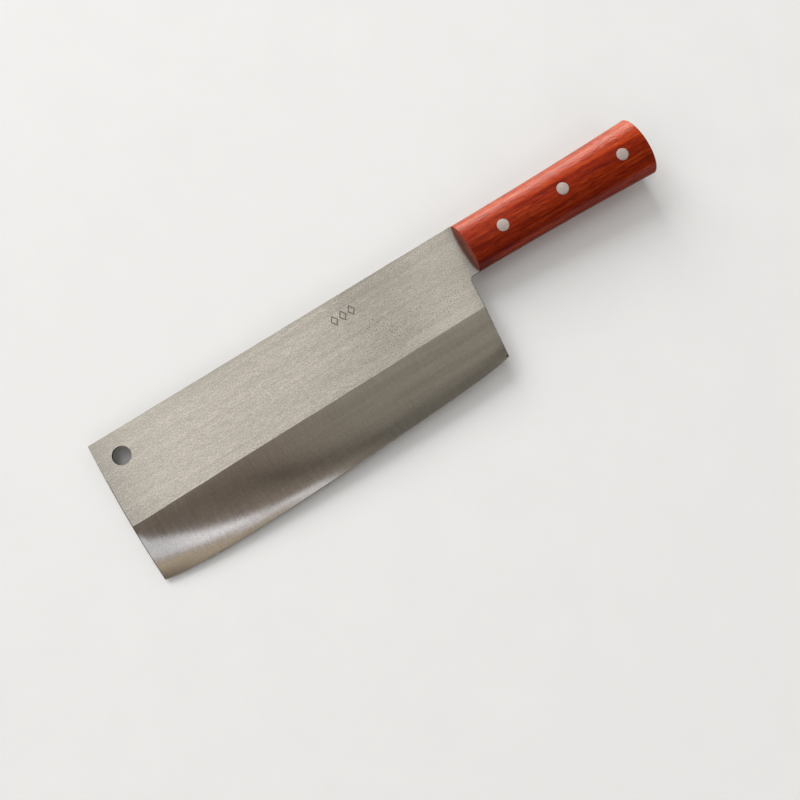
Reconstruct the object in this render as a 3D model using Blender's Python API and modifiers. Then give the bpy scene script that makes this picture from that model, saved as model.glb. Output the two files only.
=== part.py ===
"""Kitchen meat cleaver: full-tang blade, two oval wooden scales, three two-piece rivets.

Frame: +X from the blade's front towards the butt of the handle, +Y from the cutting
edge towards the spine, +Z out of the blade's left face. The origin is the centre of
the overall box, on the blade's mid-plane. Lengths are in metres.

A point of the outline is given by two plain distances:
  along  along the spine, from the blade's front towards the butt
  depth  below the spine line, towards the cutting edge
and at(along, depth) turns them into X, Y.
"""
import math

import bmesh
import bpy
from mathutils import Matrix, Vector

# ------------------------------------------------------------------ driving dimensions
MM = 0.001

# blade
SPINE_LENGTH = 209.4 * MM      # blade's front corner to the front of the handle
SPINE_REAR_GAP = 0.6 * MM      # the straight spine ends this far before the handle
BLADE_THICKNESS = 2.0 * MM     # flat part and tang
GRIND_LINE = 44.5 * MM         # depth at which the wide ground bevel starts
GRIND_CROWN = 0.35             # 0 is a flat wedge, towards 1 is a rounder grind
EDGE_DEPTH = 78.25 * MM        # deepest reach of the cutting edge, before its curve
EDGE_HALF = 0.09 * MM          # half of the thickness left at the cutting edge
BELLY_RISE = 1.363 * MM        # rise of the belly BELLY_SPAN away from its lowest point
BELLY_SPAN = 100 * MM
BELLY_AT = 20.0 * MM           # where the belly is lowest
TOE_RISE = 3.94 * MM           # lift of the edge at the front corner
TOE_RUN = 19.9 * MM            # length over which that lift fades
HEEL_RISE = 1.88 * MM          # lift of the edge at the heel
HEEL_RUN = 9.9 * MM
FRONT_LEAN = 1.2 * MM          # front end leans out towards the edge
FRONT_CROWN = 0.85 * MM        # and is slightly bowed
FRONT_CORNER = 0.35 * MM       # broken corner between front end and spine
HEEL_AT = 197.7 * MM           # back of the blade at EDGE_DEPTH
CHOIL_TOP = 203.2 * MM         # back of the blade at NECK_DEPTH
NECK_DEPTH = 28.0 * MM
NECK_FILLET = 2.2 * MM         # radius between the back of the blade and the tang

HANG_HOLE = (11.45 * MM, 12.4 * MM)           # along, depth
HANG_HOLE_DIAMETER = 9.4 * MM

# handle: an oval that swells towards the butt; t runs from 0 at its front to 1 at the butt
HANDLE_LENGTH = 108.1 * MM
OVAL_WIDTH_FRONT = 27.7 * MM   # across, from spine side to edge side
OVAL_WIDTH_SWELL = (0.64 * MM, 4.14 * MM)     # added with t and with t squared
OVAL_THICK_FRONT = 18.4 * MM   # through, from left scale to right scale
OVAL_THICK_SWELL = 4.76 * MM   # added with t
OVAL_CENTRE = 13.96 * MM       # depth of the oval's centre line at the front
OVAL_CENTRE_DROP = 1.57 * MM   # and how much deeper it lies at the butt
RIM_ROUND = 0.4 * MM           # rounded rim at the handle's two ends
BOND_GAP = 0.1 * MM            # gap between tang and scale

# rivets: a male half from the left, a female half from the right
RIVETS = {                     # name: along, depth
    "front": (230.0 * MM, 15.4 * MM),
    "middle": (266.3 * MM, 15.6 * MM),
    "rear": (302.5 * MM, 16.8 * MM),
}
HEAD_RADIUS = 6.3 * MM / 2
HEAD_SINK = 2.6 * MM           # how deep a head's seat lies in the scale
TUBE_RADIUS = 4.8 * MM / 2     # female half's tube
SHANK_RADIUS = 3.6 * MM / 2    # male half's solid shank
SHANK_CHAMFER = 0.4 * MM
BORE_FLOOR = 0.6 * MM          # metal between the female head's underside and the bore
HEAD_CLEAR = 0.15 * MM         # radial room around a head
HOLE_CLEAR = 0.15 * MM         # radial room around a tube
SHANK_CLEAR = 0.05 * MM        # radial room of the shank in the tube
SEAT_CLEAR = 0.05 * MM         # room under a head
END_CLEAR = 0.5 * MM           # room at the ends of tube and shank
HEAD_SPARE = 1.5 * MM          # height of a head above the handle before grinding

# how far the cutters reach
THROUGH_REACH = 3 * MM         # blade cutters, either side of the mid-plane
BORE_START = 0.5               # inner end of a scale's bore, as a share of HALF
BORE_SPARE = 3 * MM            # bore and seat cutters, beyond the handle's surface
SEAT_SPARE = 4 * MM

# ------------------------------------------------------------------ mesh resolution
RIVET_STEPS = 32               # sides of a rivet and of its holes
HANG_HOLE_STEPS = 48
OVAL_STEPS = 40                # sides of the handle's oval
OVAL_LENGTH_STEPS = 8
RIM_RINGS = (0.3, 1.0)         # rings across the rounded rim, as shares of RIM_ROUND
FRONT_STEPS = 8
FILLET_STEPS = 6
TANG_STEPS = 14
GRIND_BANDS = 7                # even bands from the grind line to the edge
GRIND_STATIONS = [             # places of the cuts across the ground bevel, mm along
    3, 6, 10, 15, 21, 29, 40, 54, 70, 88,
    106, 124, 142, 157, 169, 178, 184.5, 189, 192.5, 195.5,
]
BLADE_SHARP_ANGLE = 0.6        # degrees; low enough to keep the grind line crisp
SHARP_ANGLE = 30               # degrees, scales and rivets

# ------------------------------------------------------------------ derived sizes
HANDLE_FRONT = SPINE_LENGTH
BUTT = HANDLE_FRONT + HANDLE_LENGTH
HALF = BLADE_THICKNESS / 2
SCALE_INNER = HALF + BOND_GAP  # height of a scale's inner face
HOLE_RADIUS = TUBE_RADIUS + HOLE_CLEAR


def oval(along):
    """Centre depth, half width and half thickness of the handle's oval."""
    t = (along - HANDLE_FRONT) / HANDLE_LENGTH
    linear, squared = OVAL_WIDTH_SWELL
    centre = OVAL_CENTRE + OVAL_CENTRE_DROP * t
    half_width = (OVAL_WIDTH_FRONT + linear * t + squared * t * t) / 2
    half_thick = (OVAL_THICK_FRONT + OVAL_THICK_SWELL * t) / 2
    return centre, half_width, half_thick


def surface_height(along, depth):
    """Height of the handle's oval above the blade's mid-plane."""
    centre, half_width, half_thick = oval(along)
    return half_thick * math.sqrt(max(0.0, 1.0 - ((depth - centre) / half_width) ** 2))


def tang_edges(along):
    """Depths of the tang's upper and lower edge, flush with the oval at the inner faces."""
    centre, half_width, half_thick = oval(along)
    reach = half_width * math.sqrt(1.0 - (SCALE_INNER / half_thick) ** 2)
    return centre - reach, centre + reach


def edge_depth(along):
    """Depth of the cutting edge along the blade."""
    belly = BELLY_RISE * ((along - BELLY_AT) / BELLY_SPAN) ** 2
    toe = TOE_RISE * math.exp(-max(0.0, along + FRONT_LEAN) / TOE_RUN)
    heel = HEEL_RISE * math.exp(-max(0.0, HEEL_AT - along) / HEEL_RUN)
    return EDGE_DEPTH - belly - toe - heel


def front_at(depth):
    """Place of the blade's front end at a depth."""
    share = min(1.0, depth / EDGE_DEPTH)
    return -FRONT_LEAN * share - FRONT_CROWN * 4 * share * (1 - share)


def choil_at(depth):
    """Place of the blade's back at a depth, between the heel and the neck."""
    share = (depth - NECK_DEPTH) / (EDGE_DEPTH - NECK_DEPTH)
    return CHOIL_TOP + (HEEL_AT - CHOIL_TOP) * share


# the origin: centre of the overall box, whose limits are sampled along the curves
foremost = min(front_at(EDGE_DEPTH * i / 200) for i in range(201))
deepest = max(edge_depth(HEEL_AT * i / 400) for i in range(401))
handle_ovals = [oval(HANDLE_FRONT + HANDLE_LENGTH * i / 100) for i in range(101)]
highest = min(centre - half_width for centre, half_width, _ in handle_ovals)
ORIGIN_ALONG = (foremost + BUTT) / 2
ORIGIN_DEPTH = (highest + deepest) / 2


def at(along, depth, z=0.0):
    return Vector((along - ORIGIN_ALONG, ORIGIN_DEPTH - depth, z))


# ------------------------------------------------------------------ scene and helpers
for old in list(bpy.data.objects):
    bpy.data.objects.remove(old, do_unlink=True)

scene = bpy.context.scene
parts = bpy.data.collections.new("meat_cleaver")
cutters = bpy.data.collections.new("cutters")
scene.collection.children.link(parts)
scene.collection.children.link(cutters)

frame = bpy.data.objects.new("cleaver_frame", None)
frame.empty_display_size = 0.02
parts.objects.link(frame)


def material(name, colour, roughness, metallic):
    mat = bpy.data.materials.new(name)
    mat.use_nodes = True
    shader = mat.node_tree.nodes["Principled BSDF"]
    shader.inputs["Base Color"].default_value = (*colour, 1.0)
    shader.inputs["Roughness"].default_value = roughness
    shader.inputs["Metallic"].default_value = metallic
    mat.diffuse_color = (*colour, 1.0)
    return mat


def steel(name):
    return material(name, colour=(0.52, 0.49, 0.45), roughness=0.42, metallic=1.0)


def wood(name):
    return material(name, colour=(0.36, 0.055, 0.018), roughness=0.24, metallic=0.0)


def rivet_metal(name):
    return material(name, colour=(0.72, 0.70, 0.67), roughness=0.38, metallic=1.0)


def add_part(name, mesh, location=(0, 0, 0)):
    obj = bpy.data.objects.new(name, mesh)
    parts.objects.link(obj)
    obj.location = location
    obj.parent = frame
    return obj


def add_cutter(name, mesh, location=(0, 0, 0)):
    obj = bpy.data.objects.new(name, mesh)
    cutters.objects.link(obj)
    obj.location = location
    obj.hide_render = True
    obj.display_type = "WIRE"
    return obj


def mesh_from(body, name):
    mesh = bpy.data.meshes.new(name)
    body.to_mesh(mesh)
    body.free()
    return mesh


def smooth(mesh, degrees):
    mesh.shade_smooth()
    mesh.set_sharp_from_angle(angle=math.radians(degrees))


def cut(obj, cutter, operation="DIFFERENCE"):
    mod = obj.modifiers.new(f"{operation.lower()}_{cutter.name}", "BOOLEAN")
    mod.operation = operation
    mod.solver = "EXACT"
    mod.object = cutter


def drill(obj, name, place, radius, start, end, steps):
    """Cut a round hole square to the blade at place (along, depth), from z start to end."""
    body = bmesh.new()
    bmesh.ops.create_cone(body, cap_ends=True, segments=steps, radius1=radius,
                          radius2=radius, depth=abs(end - start))
    cut(obj, add_cutter(name, mesh_from(body, name), at(*place, (start + end) / 2)))


def slice_all(body, point, normal, tolerance, **options):
    """Split the whole body along a plane."""
    return bmesh.ops.bisect_plane(
        body, geom=body.verts[:] + body.edges[:] + body.faces[:], dist=tolerance,
        plane_co=point, plane_no=normal, **options)


def extruded_outline(name, points, half_thickness):
    """A closed flat outline with thickness, its caps merged into single faces."""
    curve = bpy.data.curves.new(name, "CURVE")
    curve.dimensions = "2D"
    curve.fill_mode = "BOTH"
    curve.extrude = half_thickness
    spline = curve.splines.new("POLY")
    spline.points.add(len(points) - 1)
    for spline_point, point in zip(spline.points, points):
        spline_point.co = (point.x, point.y, 0.0, 1.0)
    spline.use_cyclic_u = True
    obj = bpy.data.objects.new(name, curve)
    scene.collection.objects.link(obj)
    graph = bpy.context.evaluated_depsgraph_get()
    mesh = bpy.data.meshes.new_from_object(obj.evaluated_get(graph))
    bpy.data.objects.remove(obj, do_unlink=True)
    bpy.data.curves.remove(curve)
    body = bmesh.new()
    body.from_mesh(mesh)
    bpy.data.meshes.remove(mesh)
    bmesh.ops.remove_doubles(body, verts=body.verts, dist=1e-6)
    bmesh.ops.dissolve_limit(body, angle_limit=math.radians(0.05),
                             verts=body.verts, edges=body.edges)
    bmesh.ops.recalc_face_normals(body, faces=body.faces)
    return body


# ------------------------------------------------------------------ blade with full tang
def blade_outline():
    """Anticlockwise seen from +Z, starting at the front corner of the spine."""
    # front end, from the spine down to the edge's depth
    points = [(front_at(0) + FRONT_CORNER, 0.0)]
    for i in range(FRONT_STEPS + 1):
        depth = FRONT_CORNER + (EDGE_DEPTH - FRONT_CORNER) * i / FRONT_STEPS
        points.append((front_at(depth), depth))
    # straight below the edge; grind() gives the edge its curve
    points.append((choil_at(EDGE_DEPTH), EDGE_DEPTH))
    # back of the blade up to the neck, with its fillet
    lower = tang_edges(HANDLE_FRONT)[1]
    slope = math.atan2(CHOIL_TOP - HEEL_AT, EDGE_DEPTH - NECK_DEPTH)
    turn = math.pi / 2 - slope
    centre_along = choil_at(lower) + NECK_FILLET * math.tan(turn / 2)
    centre_depth = lower + NECK_FILLET
    for i in range(FILLET_STEPS + 1):
        angle = math.pi - slope - turn * i / FILLET_STEPS
        points.append((centre_along + NECK_FILLET * math.cos(angle),
                       centre_depth - NECK_FILLET * math.sin(angle)))
    # lower edge of the tang, butt, upper edge of the tang
    for i in range(TANG_STEPS + 1):
        along = HANDLE_FRONT + HANDLE_LENGTH * i / TANG_STEPS
        points.append((along, tang_edges(along)[1]))
    for i in range(TANG_STEPS + 1):
        along = BUTT - HANDLE_LENGTH * i / TANG_STEPS
        points.append((along, tang_edges(along)[0]))
    points.append((HANDLE_FRONT - SPINE_REAR_GAP, 0.0))
    return [at(along, depth) for along, depth in points]


def divide_bevel(body):
    """Cut rows from the grind line down, then stations across the ground bevel only."""
    for i in range(GRIND_BANDS):
        depth = GRIND_LINE + (EDGE_DEPTH - GRIND_LINE) * (i / GRIND_BANDS)
        slice_all(body, at(0, depth), (0, 1, 0), tolerance=1e-7)
    bevel_top = ORIGIN_DEPTH - GRIND_LINE - 1e-5
    for station in GRIND_STATIONS:
        faces = [face for face in body.faces if face.calc_center_median().y < bevel_top]
        edges = list({edge for face in faces for edge in face.edges})
        verts = list({vert for face in faces for vert in face.verts})
        bmesh.ops.bisect_plane(body, geom=verts + edges + faces, dist=1e-7,
                               plane_co=at(station * MM, 0), plane_no=(1, 0, 0))


def grind(body):
    """Give each point below the grind line its share of the edge's curve and of the taper."""
    for vert in body.verts:
        along = vert.co.x + ORIGIN_ALONG
        depth = ORIGIN_DEPTH - vert.co.y
        share = (depth - GRIND_LINE) / (EDGE_DEPTH - GRIND_LINE)
        if share <= 1e-6:
            continue
        depth = GRIND_LINE + share * (edge_depth(along) - GRIND_LINE)
        taper = share * (1 - GRIND_CROWN) + GRIND_CROWN * share * share
        half = HALF + (EDGE_HALF - HALF) * taper
        vert.co = at(along, depth, math.copysign(half, vert.co.z))


def build_blade():
    body = extruded_outline("blade_outline", blade_outline(), HALF)
    divide_bevel(body)
    grind(body)
    bmesh.ops.triangulate(body, faces=[face for face in body.faces if len(face.verts) > 3])
    mesh = mesh_from(body, "blade")
    smooth(mesh, BLADE_SHARP_ANGLE)
    blade = add_part("blade", mesh)
    drill(blade, "hanging_hole_cutter", HANG_HOLE, HANG_HOLE_DIAMETER / 2,
          -THROUGH_REACH, THROUGH_REACH, HANG_HOLE_STEPS)
    for where, place in RIVETS.items():
        drill(blade, f"{where}_tang_hole_cutter", place, HOLE_RADIUS,
              -THROUGH_REACH, THROUGH_REACH, RIVET_STEPS)
    mesh.materials.append(steel("blade_steel"))


# ------------------------------------------------------------------ handle scales
def handle_oval_mesh(name):
    """The handle's full oval body: a cylinder whose rings take the oval's size."""
    body = bmesh.new()
    bmesh.ops.create_cone(body, cap_ends=True, segments=OVAL_STEPS,
                          radius1=1, radius2=1, depth=1)
    bmesh.ops.rotate(body, verts=body.verts, cent=(0, 0, 0),
                     matrix=Matrix.Rotation(math.pi / OVAL_STEPS, 3, "Z"))
    rings = [RIM_ROUND * share for share in RIM_RINGS]
    rings += [HANDLE_LENGTH * i / OVAL_LENGTH_STEPS for i in range(1, OVAL_LENGTH_STEPS)]
    rings += [HANDLE_LENGTH - RIM_ROUND * share for share in reversed(RIM_RINGS)]
    for ring in rings:
        slice_all(body, (0, 0, ring / HANDLE_LENGTH - 0.5), (0, 0, 1), tolerance=1e-9)
    for vert in body.verts:
        from_front = (vert.co.z + 0.5) * HANDLE_LENGTH
        along = HANDLE_FRONT + from_front
        centre, half_width, half_thick = oval(along)
        from_end = min(from_front, HANDLE_LENGTH - from_front)
        shrink = 0.0
        if from_end < RIM_ROUND:
            shrink = RIM_ROUND - math.sqrt(
                max(0.0, RIM_ROUND ** 2 - (RIM_ROUND - from_end) ** 2))
        vert.co = at(along, centre - (half_width - shrink) * vert.co.x,
                     (half_thick - shrink) * vert.co.y)
    bmesh.ops.recalc_face_normals(body, faces=body.faces)
    return mesh_from(body, name)


def build_scale(name, side):
    """The oval's part on one side of the tang (+1 is left), with stepped bores."""
    mesh = handle_oval_mesh(name)
    body = bmesh.new()
    body.from_mesh(mesh)
    halved = slice_all(body, (0, 0, side * SCALE_INNER), (0, 0, -side),
                       tolerance=1e-9, clear_outer=True)
    rim = [item for item in halved["geom_cut"] if isinstance(item, bmesh.types.BMEdge)]
    bmesh.ops.contextual_create(body, geom=rim)
    bmesh.ops.recalc_face_normals(body, faces=body.faces)
    body.to_mesh(mesh)
    body.free()
    scale = add_part(name, mesh)
    for where, place in RIVETS.items():
        top = surface_height(*place)
        drill(scale, f"{where}_{name}_bore_cutter", place, HOLE_RADIUS,
              side * BORE_START * HALF, side * (top + BORE_SPARE), RIVET_STEPS)
        drill(scale, f"{where}_{name}_seat_cutter", place, HEAD_RADIUS + HEAD_CLEAR,
              side * (top - HEAD_SINK), side * (top + SEAT_SPARE), RIVET_STEPS)
    smooth(mesh, SHARP_ANGLE)
    mesh.materials.append(wood(f"{name}_wood"))


# ------------------------------------------------------------------ rivets
def turned(name, profile):
    """A turned piece: its half profile (radius, z), from axis to axis, swept round Z."""
    body = bmesh.new()
    verts = [body.verts.new((radius, 0.0, z)) for radius, z in profile]
    for start, end in zip(verts, verts[1:]):
        body.edges.new((start, end))
    guide = add_cutter(f"{name}_profile", mesh_from(body, f"{name}_profile"))
    mod = guide.modifiers.new("turn", "SCREW")
    mod.angle = 2 * math.pi
    mod.screw_offset = 0.0
    mod.steps = mod.render_steps = RIVET_STEPS
    mod.use_merge_vertices = True
    mod.merge_threshold = 1e-6
    graph = bpy.context.evaluated_depsgraph_get()
    mesh = bpy.data.meshes.new_from_object(guide.evaluated_get(graph))
    mesh.name = name
    bpy.data.objects.remove(guide, do_unlink=True)
    smooth(mesh, SHARP_ANGLE)
    return mesh


def build_rivet(where, place, grind_body):
    """Male half with its head on the left, female half with its head on the right."""
    top = surface_height(*place)
    seat = top - HEAD_SINK + SEAT_CLEAR      # underside of a head
    over = top + HEAD_SPARE                  # top of a head before grinding
    bore_radius = SHANK_RADIUS + SHANK_CLEAR
    bore_floor = -seat + BORE_FLOOR
    tube_end = seat - END_CLEAR
    shank_end = bore_floor + END_CLEAR
    profiles = {
        "male": [
            (0.0, over), (HEAD_RADIUS, over), (HEAD_RADIUS, seat), (SHANK_RADIUS, seat),
            (SHANK_RADIUS, shank_end + SHANK_CHAMFER),
            (SHANK_RADIUS - SHANK_CHAMFER, shank_end), (0.0, shank_end)],
        "female": [
            (0.0, bore_floor), (bore_radius, bore_floor), (bore_radius, tube_end),
            (TUBE_RADIUS, tube_end), (TUBE_RADIUS, -seat), (HEAD_RADIUS, -seat),
            (HEAD_RADIUS, -over), (0.0, -over)],
    }
    for kind, profile in profiles.items():
        name = f"{where}_rivet_{kind}"
        mesh = turned(name, profile)
        cut(add_part(name, mesh, at(*place)), grind_body, "INTERSECT")
        mesh.materials.append(rivet_metal(f"{name}_metal"))


# ------------------------------------------------------------------ build
build_blade()
build_scale("left_scale", +1)
build_scale("right_scale", -1)

# one oval body brings every rivet head flush with the handle
grinding_guide = add_cutter("flush_grinding_guide", handle_oval_mesh("flush_grinding_guide"))
for rivet_name, rivet_place in RIVETS.items():
    build_rivet(rivet_name, rivet_place, grinding_guide)
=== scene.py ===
"""Looks of a kitchen cleaver: blade, two handle scales and three pairs of rivets.

The cleaver lies flat, its left face up (+Z). X runs from the blade's front to the butt
of the handle, and Y points from the cutting edge to the spine. Lengths are in metres.
Outlines are drawn in two other coordinates: `along` runs down the spine from the
blade's front, and `depth` is the distance below the spine line.
"""
import math

import bmesh
import bpy
from mathutils import Matrix, Vector


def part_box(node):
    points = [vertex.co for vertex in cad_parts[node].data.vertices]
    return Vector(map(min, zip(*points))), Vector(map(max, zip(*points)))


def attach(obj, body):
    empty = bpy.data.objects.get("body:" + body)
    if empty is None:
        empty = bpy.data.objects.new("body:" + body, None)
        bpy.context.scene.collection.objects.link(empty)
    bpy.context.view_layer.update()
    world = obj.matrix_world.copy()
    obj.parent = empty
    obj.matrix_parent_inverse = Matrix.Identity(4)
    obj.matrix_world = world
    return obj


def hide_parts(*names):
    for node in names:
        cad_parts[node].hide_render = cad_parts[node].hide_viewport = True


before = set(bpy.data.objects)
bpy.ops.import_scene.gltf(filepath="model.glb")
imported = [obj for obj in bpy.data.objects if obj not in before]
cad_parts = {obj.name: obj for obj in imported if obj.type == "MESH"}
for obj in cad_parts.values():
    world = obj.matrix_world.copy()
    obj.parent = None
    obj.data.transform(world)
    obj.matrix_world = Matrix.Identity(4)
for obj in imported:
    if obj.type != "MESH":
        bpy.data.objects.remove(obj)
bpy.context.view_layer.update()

MM = 0.001
scene = bpy.context.scene

# ------------------------------------------------------------------ sizes
# taken from the CAD pieces
blade_low, blade_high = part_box("blade")
scale_low, scale_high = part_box("left_scale")
HALF = blade_high.z                        # half of the blade's thickness
GAP = scale_low.z - HALF                   # glue line under a scale
HANDLE_FRONT_X = scale_low.x
HANDLE_LENGTH = scale_high.x - scale_low.x

HANDLE_FRONT = 209.4 * MM                  # also the length of the blade's spine
BUTT = HANDLE_FRONT + HANDLE_LENGTH
ORIGIN_ALONG = HANDLE_FRONT - HANDLE_FRONT_X

# cutting edge: a belly, and a rise at each end
EDGE_DEPTH = 78.25 * MM
BELLY_PER_100, BELLY_AT = 1.363 * MM, 20.0 * MM
TOE_RISE, TOE_RUN = 3.94 * MM, 19.9 * MM
HEEL_RISE, HEEL_RUN = 1.88 * MM, 9.9 * MM

# front end, heel and neck
FRONT_LEAN, FRONT_CROWN = 1.2 * MM, 0.85 * MM
FRONT_CORNER = 0.45 * MM
HEEL_AT, CHOIL_TOP = 197.7 * MM, 203.2 * MM
NECK_DEPTH, NECK_FILLET = 28.0 * MM, 2.2 * MM

# ground bevel; "share" is the place across it, 0 at the grind line and 1 at the edge
GRIND_LINE = 44.5 * MM
GRIND_SPAN = EDGE_DEPTH - GRIND_LINE
GRIND_CROWN = 0.35
GRIND_END = 205 * MM
GRIND_Y = 0.0                              # set below, once the origin is known
STRIP_WIDTH = 0.5 * MM                     # sharpened strip along the cutting edge
STRIP_SHARE = 1.0 - STRIP_WIDTH / GRIND_SPAN
STRIP_HALF, EDGE_HALF = 0.09 * MM, 0.03 * MM
# low waves a wheel leaves: height in mm, radians per metre along, radians per share, phase
GRIND_WAVES = [
    (0.006, 62, 2.2, 0.6),
    (0.0025, 131, -3.5, 2.0),
    (0.0008, 330, 6, 0.0),
]
GRIND_ROWS = [i / 26 for i in range(26)] + [STRIP_SHARE - 0.006, STRIP_SHARE, STRIP_SHARE + 0.012]
GRIND_STATIONS_MM = [0.5, 1.3, 2.3, 3.5, 5.0, 7.0, 9.5, 12.5]
GRIND_STATIONS_MM += [16 + 4 * i for i in range(44)]
GRIND_STATIONS_MM += [190.5, 192.5, 194, 195.2, 196.2]

HANG_ALONG, HANG_DEPTH, HANG_RADIUS = 11.45 * MM, 12.4 * MM, 4.7 * MM

# three struck lozenges: first centre and step (along, depth), half sizes (along, depth)
MARK_FIRST, MARK_STEP = (133.2, 10.5), (5.0, -0.15)
MARK_OUTER, MARK_INNER = (2.05 * MM, 2.9 * MM), (1.45 * MM, 2.05 * MM)
MARK_SUNK = 0.09 * MM

# handle oval; widths are polynomials of the share of the handle's length
OVAL_WIDTH = (27.7 * MM, 0.64 * MM, 4.14 * MM)
OVAL_THICK = (18.4 * MM, 4.76 * MM)
OVAL_CENTRE, OVAL_DROP = 13.96 * MM, 1.57 * MM
RIM = 0.4 * MM                             # rounding at both ends of the handle
OVAL_STATIONS, OVAL_AROUND = 96, 128

RIVETS = ("front", "middle", "rear")
HEAD_RADIUS, TUBE_RADIUS, SHANK_RADIUS = 3.15 * MM, 2.4 * MM, 1.8 * MM
HEAD_DEPTH = 2.6 * MM
RIVET_PLAY = 0.15 * MM                     # play of a head or a tube in its hole


def edge_depth(along):
    belly = BELLY_PER_100 * ((along - BELLY_AT) / 0.1) ** 2
    toe = TOE_RISE * math.exp(-max(0.0, along + FRONT_LEAN) / TOE_RUN)
    heel = HEEL_RISE * math.exp(-max(0.0, HEEL_AT - along) / HEEL_RUN)
    return EDGE_DEPTH - belly - toe - heel


ORIGIN_DEPTH = blade_low.y + max(edge_depth(HEEL_AT * i / 400) for i in range(401))
GRIND_Y = ORIGIN_DEPTH - GRIND_LINE


def at(along, depth, z=0.0):
    return Vector((along - ORIGIN_ALONG, ORIGIN_DEPTH - depth, z))


def front_at(depth):
    share = depth / EDGE_DEPTH
    return -FRONT_LEAN * share - FRONT_CROWN * 4 * share * (1 - share)


def choil_at(depth):
    share = (depth - NECK_DEPTH) / (EDGE_DEPTH - NECK_DEPTH)
    return CHOIL_TOP + (HEEL_AT - CHOIL_TOP) * share


def oval(along):
    """Centre depth, half width and half thickness of the handle."""
    share = (along - HANDLE_FRONT) / HANDLE_LENGTH
    centre = OVAL_CENTRE + OVAL_DROP * share
    wide = (OVAL_WIDTH[0] + OVAL_WIDTH[1] * share + OVAL_WIDTH[2] * share * share) / 2
    thick = (OVAL_THICK[0] + OVAL_THICK[1] * share) / 2
    return centre, wide, thick


def surface_height(along, depth):
    centre, wide, thick = oval(along)
    return thick * math.sqrt(1.0 - ((depth - centre) / wide) ** 2)


def rivet_place(where):
    low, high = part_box(f"{where}_rivet_male")
    centre = (low + high) / 2
    return centre.x + ORIGIN_ALONG, ORIGIN_DEPTH - centre.y


def smoothstep(low, high, value):
    share = min(1.0, max(0.0, (value - low) / (high - low)))
    return share * share * (3 - 2 * share)


# ------------------------------------------------------------------ node helpers
NOISE_RANGE = (0.3, 0.7)                   # where most of a noise's values fall
WIDE_RANGE = (0.25, 0.75)


class Signal:
    """A node's output; arithmetic on it makes Math nodes."""

    def __init__(self, net, socket):
        self.net = net
        self.socket = socket

    def __add__(self, other):
        return self.net.math("ADD", self, other)

    def __radd__(self, other):
        return self.net.math("ADD", other, self)

    def __sub__(self, other):
        return self.net.math("SUBTRACT", self, other)

    def __rsub__(self, other):
        return self.net.math("SUBTRACT", other, self)

    def __mul__(self, other):
        return self.net.math("MULTIPLY", self, other)

    def __truediv__(self, other):
        return self.net.math("DIVIDE", self, other)

    def map_range(self, kind, span, to):
        node = self.net.node("ShaderNodeMapRange", interpolation_type=kind, clamp=True)
        return self.net.fill(node, {"Value": self, "From Min": span[0], "From Max": span[1],
                                    "To Min": to[0], "To Max": to[1]})

    def smooth(self, span, to=(0.0, 1.0)):
        """Smooth step between the two ends of the span, which may run downwards."""
        return self.map_range("SMOOTHSTEP", span, to)

    def linear(self, span, to=(0.0, 1.0)):
        return self.map_range("LINEAR", span, to)

    def swing(self, by, span=NOISE_RANGE):
        """A noise turned into a change of up to `by` either way."""
        return self.linear(span, to=(-by, by))

    def bell(self, width):
        return self.net.math("EXPONENT", self * self * (-0.5 / width ** 2))

    def axes(self):
        node = self.net.node("ShaderNodeSeparateXYZ")
        self.net.put(self, node.inputs[0])
        return [Signal(self.net, socket) for socket in node.outputs]

    def mapped(self, rate=(1, 1, 1), rotation=(0, 0, 0), shift=(0, 0, 0)):
        return self.net.fill(self.net.node("ShaderNodeMapping"), {
            "Vector": self, "Scale": rate, "Rotation": rotation, "Location": shift})

    def noise(self, scale=1.0, detail=2.0, rough=0.5, distortion=0.0):
        node = self.net.node("ShaderNodeTexNoise", noise_dimensions="3D")
        return self.net.fill(node, {"Vector": self, "Scale": scale, "Detail": detail,
                                    "Roughness": rough, "Distortion": distortion}, "Fac")

    def stretched(self, rate, turn=0.0, shift=(0, 0, 0), **noise):
        """Noise with its own rate per metre on each axis, turned about Z."""
        return self.mapped(rate, (0, 0, turn), shift).noise(**noise)

    def bump(self, strength, distance):
        return self.net.fill(self.net.node("ShaderNodeBump"), {
            "Height": self, "Strength": strength, "Distance": distance})


class Net:
    """A node tree, emptied and given its output node."""

    def __init__(self, tree, output_kind):
        self.tree = tree
        self.count = 0
        tree.nodes.clear()
        self.surface = self.node(output_kind).inputs["Surface"]

    def node(self, kind, **properties):
        node = self.tree.nodes.new(kind)
        node.location = (-1400 + 190 * (self.count % 9), 500 - 230 * (self.count // 9))
        self.count += 1
        for key, value in properties.items():
            setattr(node, key, value)
        return node

    def put(self, value, socket):
        """Links a signal to the socket, or sets a plain value on it."""
        if isinstance(value, Signal):
            self.tree.links.new(value.socket, socket)
        else:
            socket.default_value = (*value, 1.0) if socket.type == "RGBA" else value

    def fill(self, node, values, output=0):
        """Fills the node's inputs and gives back one of its outputs."""
        for key, value in values.items():
            self.put(value, node.inputs[key])
        return Signal(self, node.outputs[output])

    def source(self, kind, output):
        return Signal(self, self.node(kind).outputs[output])

    def math(self, operation, *values):
        return self.fill(self.node("ShaderNodeMath", operation=operation), dict(enumerate(values)))

    def mix(self, factor, first, second, blend="MIX"):
        node = self.node("ShaderNodeMix", data_type="RGBA", blend_type=blend)
        return self.fill(node, {0: factor, 6: first, 7: second}, 2)

    def scale(self, colour, by):
        node = self.node("ShaderNodeVectorMath", operation="SCALE")
        return self.fill(node, {0: colour, "Scale": by})

    def ramp(self, factor, stops):
        node = self.node("ShaderNodeValToRGB")
        elements = node.color_ramp.elements
        while len(elements) > 1:
            elements.remove(elements[-1])
        elements[0].position = stops[0][0]
        elements[0].color = (*stops[0][1], 1.0)
        for place, colour in stops[1:]:
            elements.new(place).color = (*colour, 1.0)
        return self.fill(node, {0: factor})


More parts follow.
